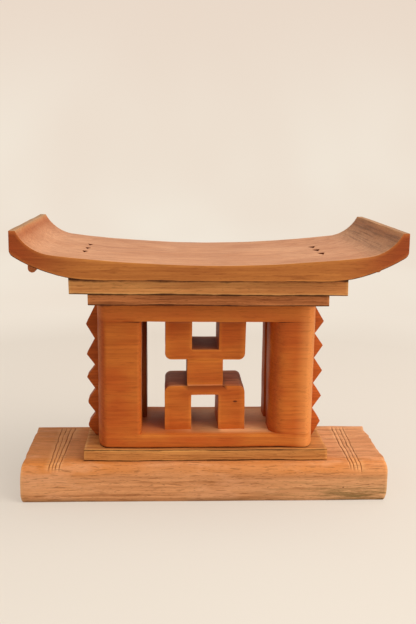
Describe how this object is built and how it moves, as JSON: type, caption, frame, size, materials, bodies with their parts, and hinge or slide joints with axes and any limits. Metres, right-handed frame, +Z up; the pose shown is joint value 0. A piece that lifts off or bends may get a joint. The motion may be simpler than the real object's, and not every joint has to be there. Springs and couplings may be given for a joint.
{
  "type": "carved wooden stool",
  "caption": "Carved stool with a dished seat on stepped treads, a columned frame round a pierced centre symbol, zigzag end posts and a thick base; made small, a headrest.",
  "frame": {"origin": "middle of the base's flat underside, on the floor", "axes": "+X along the seat's length, to the right as seen from the front, +Y to the back, +Z up"},
  "size_m": [0.508, 0.274, 0.378],
  "materials": {
    "seat_wood": "satin, sanded, salmon to ochre",
    "tread_wood": "satin, ochre with straight grain",
    "frame_wood": "satin, red-orange stain",
    "base_wood": "satin, pale tan with weathered streaks",
    "peg_wood": "plain, hidden in the joints"
  },
  "bodies": {
    "root": {"seat": "seat_wood", "left_lug": "seat_wood", "right_lug": "seat_wood", "upper_tread": "tread_wood", "lower_tread": "tread_wood", "seat_pegs": "peg_wood", "top_plate": "frame_wood", "front_left_column": "frame_wood", "front_right_column": "frame_wood", "back_left_column": "frame_wood", "back_right_column": "frame_wood", "left_zigzag_post": "frame_wood", "right_zigzag_post": "frame_wood", "post_pins": "peg_wood", "centre_symbol": "frame_wood", "bottom_plate": "frame_wood", "plinth": "base_wood", "base": "base_wood", "foot_pegs": "peg_wood"}
  },
  "joints": []
}
